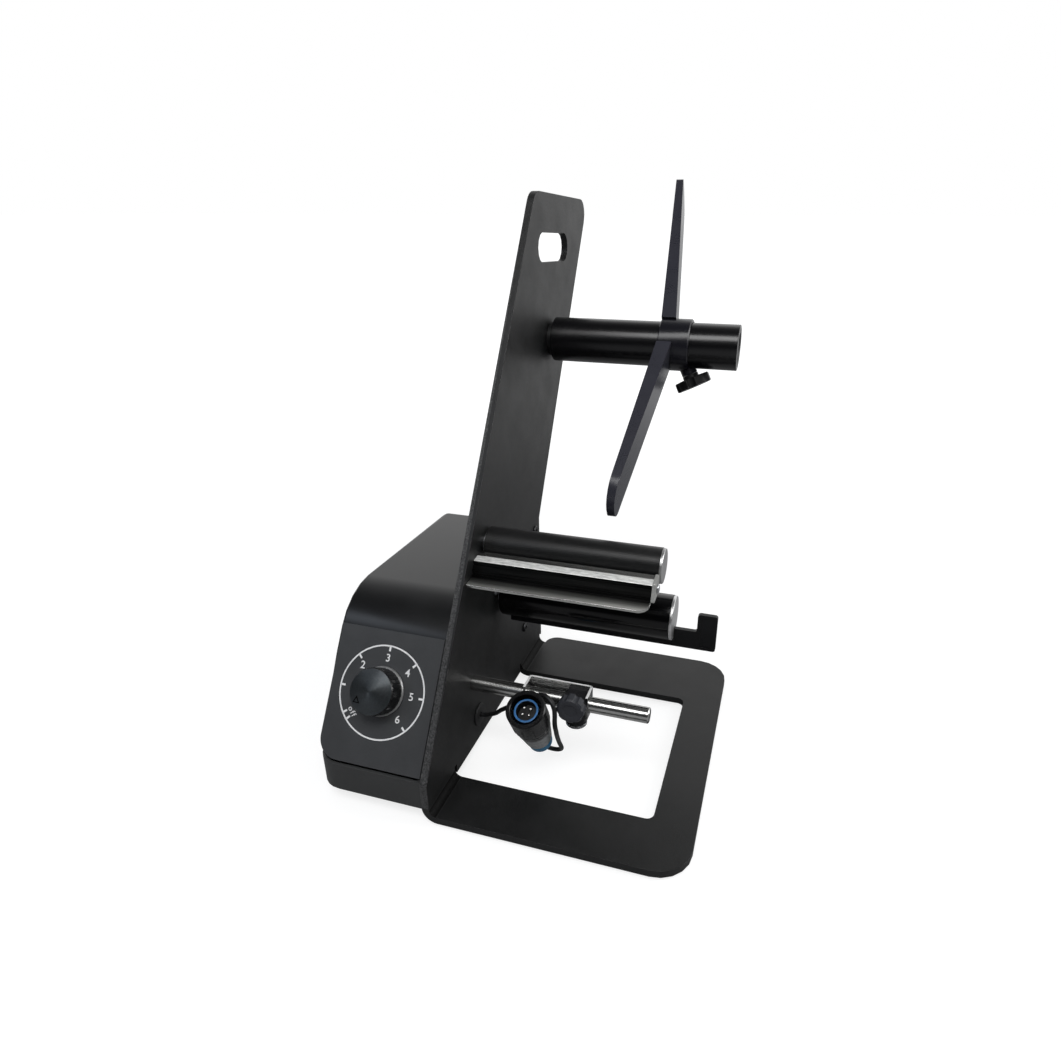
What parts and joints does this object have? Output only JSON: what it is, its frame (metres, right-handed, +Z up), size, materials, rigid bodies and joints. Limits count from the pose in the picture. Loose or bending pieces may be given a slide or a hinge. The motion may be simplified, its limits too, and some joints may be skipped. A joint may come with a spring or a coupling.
{
  "type": "label dispenser",
  "caption": "Desk label dispenser: bent steel frame with carry handle, drive housing with speed dial, supply tube with roll guide, peel bar, take-up roller and label sensor.",
  "frame": {"origin": "middle of the whole object's footprint, on the surface it stands on", "axes": "+X along the rollers, away from the drive housing; +Y to the back; +Z up"},
  "size_m": [0.2186, 0.3272, 0.3376],
  "materials": {
    "powder_black": "fine-textured black powder coat",
    "overlay_black": "satin printed film",
    "anodised_black": "glossy black anodised",
    "gloss_black": "glossy moulded",
    "rubber_black": "matte",
    "plastic_black": "satin moulded",
    "stainless": "polished stainless steel",
    "alloy": "turned, bead blasted",
    "zinc": "zinc plated",
    "blue_plastic": "satin moulded",
    "grey_plastic": "satin moulded",
    "board_green": "solder mask",
    "brass": "plated contact"
  },
  "bodies": {
    "base": {"frame_plate": "powder_black", "base_foot_1": "rubber_black", "base_foot_2": "rubber_black", "base_foot_3": "rubber_black", "base_foot_4": "rubber_black", "tray_foot_1": "rubber_black", "tray_foot_2": "rubber_black", "housing_hood": "powder_black", "housing_tray": "powder_black", "front_overlay": "overlay_black", "speed_control": "zinc", "tube_hub": "zinc", "hub_nut": "zinc", "tube_retainer": "zinc", "guide_axle": "zinc", "guide_nut": "zinc", "peel_plate": "stainless", "peel_bar": "alloy", "peel_screw_1": "zinc", "peel_end_plate": "stainless", "peel_end_screw": "zinc", "gear_case": "zinc", "motor_screw_1": "zinc", "motor_screw_2": "zinc", "motor_screw_3": "zinc", "drive_motor": "alloy", "control_board": "board_green", "power_inlet": "plastic_black", "power_inlet_nut": "plastic_black", "case_screw_upper": "zinc", "case_screw_lower": "zinc", "sensor_rod": "stainless", "rod_screw": "zinc", "lead_grommet": "rubber_black", "plug_body": "grey_plastic", "plug_insert": "blue_plastic", "plug_pins": "brass", "plug_nut": "blue_plastic", "plug_lead": "rubber_black"},
    "supply_tube": {"supply_tube": "anodised_black", "tube_end_plug": "plastic_black", "tube_bush_inner": "plastic_black", "tube_bush_outer": "plastic_black"},
    "roll_guide": {"roll_guide": "gloss_black"},
    "thumb_screw": {"thumb_screw": "plastic_black"},
    "guide_roller": {"guide_core": "alloy", "guide_sleeve": "rubber_black"},
    "take_up": {"take_up_roller": "anodised_black", "take_up_cap": "alloy", "take_up_shaft": "zinc"},
    "liner_clip": {"liner_clip": "plastic_black"},
    "dial": {"dial_knob": "plastic_black", "dial_foot_ring": "alloy", "speed_control_shaft": "alloy"},
    "sensor_carriage": {"sensor_bracket": "stainless", "sensor_clamp": "plastic_black", "sensor_barrel": "plastic_black", "sensor_ring": "zinc"},
    "clamp_knob": {"clamp_knob": "plastic_black"},
    "coupling_ring": {"plug_coupling": "plastic_black"}
  },
  "joints": [
    {"name": "supply_tube_spin", "type": "hinge", "parent": "base", "child": "supply_tube", "pos_m": [0, 0.06351, 0.2347], "axis": [1, 0, 0], "continuous": true},
    {"name": "roll_guide_slide", "type": "slide", "parent": "supply_tube", "child": "roll_guide", "axis": [1, 0, 0], "range_m": [-0.062, 0.03]},
    {"name": "thumb_screw_turn", "type": "hinge", "parent": "roll_guide", "child": "thumb_screw", "pos_m": [0.05365, 0.06351, 0.2347], "axis": [0.4509, -0.1688, -0.8765], "range_deg": [0, 360]},
    {"name": "guide_roller_spin", "type": "hinge", "parent": "base", "child": "guide_roller", "pos_m": [0, -0.06459, 0.1326], "axis": [1, 0, 0], "continuous": true},
    {"name": "take_up_spin", "type": "hinge", "parent": "base", "child": "take_up", "pos_m": [0, -0.04459, 0.088], "axis": [1, 0, 0], "continuous": true},
    {"name": "liner_clip_slide", "type": "slide", "parent": "take_up", "child": "liner_clip", "axis": [1, 0, 0], "range_m": [0, 0.09]},
    {"name": "dial_turn", "type": "hinge", "parent": "base", "child": "dial", "pos_m": [-0.07465, -0.13721, 0.06531], "axis": [0, 0.8353, -0.5498], "range_deg": [0, 285]},
    {"name": "sensor_slide", "type": "slide", "parent": "base", "child": "sensor_carriage", "axis": [1, 0, 0], "range_m": [0, 0.03]},
    {"name": "clamp_knob_turn", "type": "hinge", "parent": "sensor_carriage", "child": "clamp_knob", "pos_m": [0.03065, -0.10939, 0.0562], "axis": [0, -1, 0], "range_deg": [0, 360]},
    {"name": "coupling_ring_turn", "type": "hinge", "parent": "base", "child": "coupling_ring", "pos_m": [0.00795, -0.12359, 0.0614], "axis": [0.005, 0.5, -0.866], "continuous": true}
  ]
}
